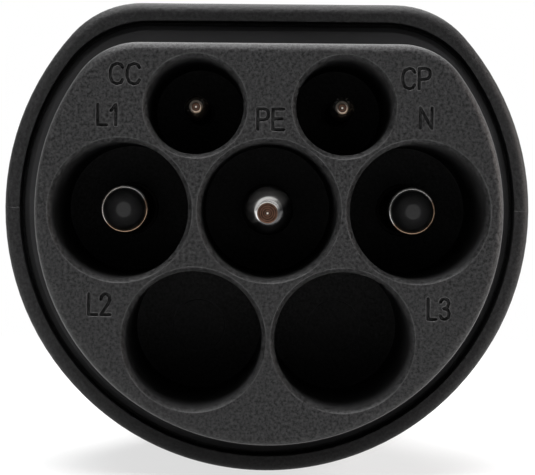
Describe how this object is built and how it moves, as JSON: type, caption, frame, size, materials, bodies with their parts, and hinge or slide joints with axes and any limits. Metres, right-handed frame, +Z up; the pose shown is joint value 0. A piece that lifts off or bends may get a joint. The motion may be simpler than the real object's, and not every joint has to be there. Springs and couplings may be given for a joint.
{
  "type": "ev charging plug",
  "caption": "Hand-held AC charging plug with a D-shaped seven-way nose, recessed pins, clamshell handle and a rear cable gland.",
  "frame": {"origin": "centre of the nose's front face, on the axis of the earth contact", "axes": "-Y the way the nose points and the mate leaves; +Z up, towards the flat of the D; +X to the right when looking at the pins"},
  "size_m": [0.072, 0.1877, 0.0641],
  "materials": {
    "shell_plastic": "fine spark-eroded texture, black",
    "nose_plastic": "fine texture, black",
    "seal_rubber": "matt black rubber",
    "grip_rubber": "matt black soft grip",
    "contact_metal": "silver-plated, turned",
    "cap_plastic": "black",
    "insulator_plastic": "black, semi-matt",
    "gland_plastic": "black nylon",
    "screw_steel": "zinc-plated",
    "board_laminate": "green solder mask",
    "resistor_body": "pale blue"
  },
  "bodies": {
    "housing": {"nose_housing": "nose_plastic", "nose_seal": "seal_rubber", "pin_pe": "contact_metal", "pin_l1": "contact_metal", "pin_n": "contact_metal", "pin_cc": "contact_metal", "pin_cp": "contact_metal", "touch_cap_l1": "cap_plastic", "touch_cap_n": "cap_plastic", "blanking_plugs": "cap_plastic", "rear_insulator": "insulator_plastic", "insulator_screws": "screw_steel", "coding_board": "board_laminate", "coding_resistors": "resistor_body", "upper_shell": "shell_plastic", "lower_shell": "shell_plastic", "shell_screws": "screw_steel", "grip_pad_left": "grip_rubber", "grip_pad_right": "grip_rubber", "cord_clamp": "insulator_plastic", "clamp_screws": "screw_steel", "gland_body": "gland_plastic", "gland_oring": "seal_rubber", "cable_grommet": "seal_rubber"},
    "clamp_ring": {"thrust_ring": "insulator_plastic"},
    "nut": {"gland_nut": "gland_plastic"}
  },
  "joints": [
    {"name": "nut_travel", "type": "slide", "parent": "housing", "child": "clamp_ring", "axis": [0, 1, 0], "range_m": [0, 0.0062]},
    {"name": "nut_turn", "type": "hinge", "parent": "clamp_ring", "child": "nut", "pos_m": [0, 0.175, -0.0129], "axis": [0, 1, 0], "range_deg": [0, 1440]}
  ],
  "couplings": [
    {"joint": "nut_travel", "follows": "nut_turn", "m_per_rad": 0.00023873}
  ]
}
